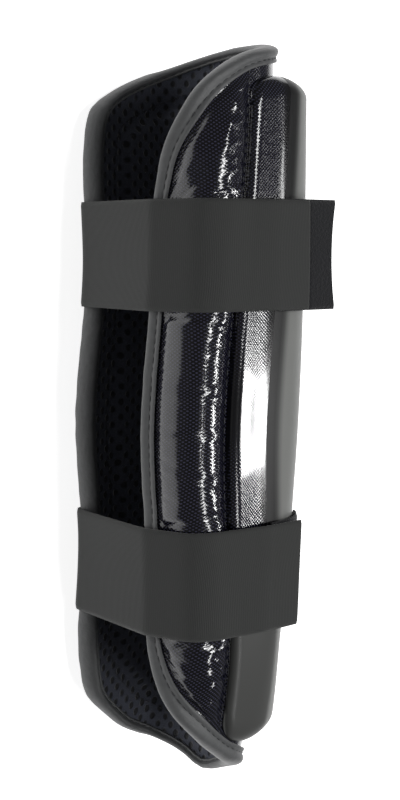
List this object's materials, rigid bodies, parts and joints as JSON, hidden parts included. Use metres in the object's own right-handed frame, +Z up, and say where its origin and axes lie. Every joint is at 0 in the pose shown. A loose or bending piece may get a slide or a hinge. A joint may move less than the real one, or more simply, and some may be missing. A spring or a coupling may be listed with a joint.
{
  "type": "shin guard",
  "caption": "Padded shin guard with a raised glossy front block, two curved flaps, a bound edge, a mesh lining and elastic straps closed with hook-and-loop tape.",
  "frame": {"origin": "centre of the bounding box at the surface that the guard lies on", "axes": "+X along the guard towards its ankle end, +Y to the front of the shin, +Z up, away from the far side that it lies on"},
  "size_m": [0.3594, 0.0974, 0.1038],
  "materials": {
    "coated_twill": "glossy black coated twill",
    "air_mesh": "black air mesh",
    "binding_tape": "matte dark grey leatherette",
    "elastic": "charcoal ribbed elastic",
    "closure_tape": "black hook-and-loop pile"
  },
  "bodies": {
    "root": {"mesh_lining": "air_mesh", "cover_pad": "coated_twill", "front_panel": "coated_twill", "edge_binding": "binding_tape", "upper_strap": "elastic", "lower_strap": "elastic", "upper_closure_tape": "closure_tape", "lower_closure_tape": "closure_tape"}
  },
  "joints": []
}
